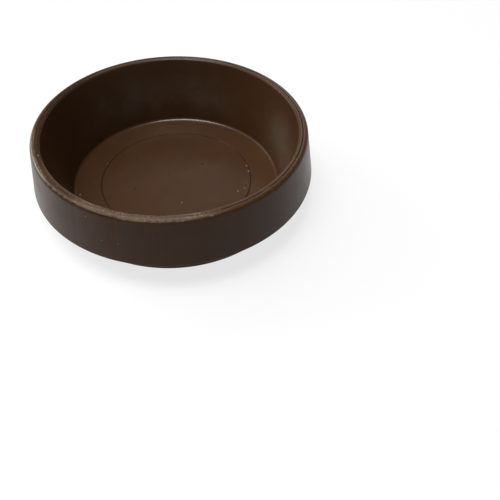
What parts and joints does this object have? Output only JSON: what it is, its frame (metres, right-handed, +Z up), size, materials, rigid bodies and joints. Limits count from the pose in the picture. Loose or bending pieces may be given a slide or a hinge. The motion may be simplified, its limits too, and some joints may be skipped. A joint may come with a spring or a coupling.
{
  "type": "castor cup",
  "caption": "Round one-piece moulded cup that a furniture castor stands in, with a tapered bowl, a flared outer skirt and a narrower foot on which cups nest.",
  "frame": {"origin": "middle of the foot's flat underside, which rests on the floor", "axes": "+Z up along the cup's axis, out of its mouth; X and Y lie in the floor"},
  "size_m": [0.0782, 0.0782, 0.0208],
  "materials": {
    "moulded_plastic": "satin dark brown, lightly scuffed"
  },
  "bodies": {
    "root": {"castor_cup": "moulded_plastic"}
  },
  "joints": []
}
